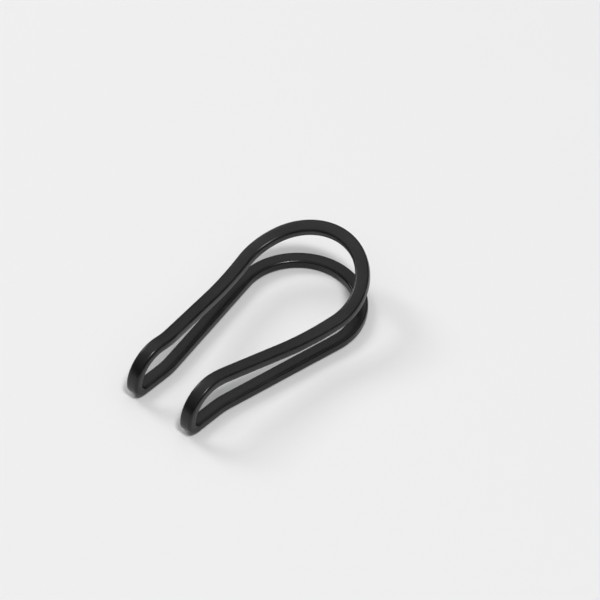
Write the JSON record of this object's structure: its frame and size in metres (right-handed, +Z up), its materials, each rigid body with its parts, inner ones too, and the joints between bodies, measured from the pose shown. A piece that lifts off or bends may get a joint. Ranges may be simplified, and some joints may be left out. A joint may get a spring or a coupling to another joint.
{
  "type": "money clip",
  "caption": "Spring money clip: a closed keyhole-shaped steel strip folded in half, with a flat lower jaw and a flared upper jaw that pinch folded notes.",
  "frame": {"origin": "middle of the underside of the box that the clip fits in, on the surface it lies on", "axes": "+X across the clip, which is the same on both sides of X = 0; +Y from the two bends to the tip of the loops, the longest way; +Z up, from the flat lower jaw to the upper jaw"},
  "size_m": [0.0272, 0.0524, 0.012],
  "materials": {
    "strip": "satin black coating on spring steel"
  },
  "bodies": {
    "lower_jaw": {"lower_loop": "strip", "left_bend": "strip", "right_bend": "strip"},
    "upper_jaw": {"upper_loop": "strip"}
  },
  "joints": [
    {"name": "jaw_flex", "type": "hinge", "parent": "lower_jaw", "child": "upper_jaw", "pos_m": [0, -0.019, 0.0028], "axis": [1, 0, 0], "range_deg": [-6.7, 8], "stiffness_Nm_per_rad": 20, "springref_deg": -1.38, "deforming": ["left_bend", "right_bend"]}
  ]
}
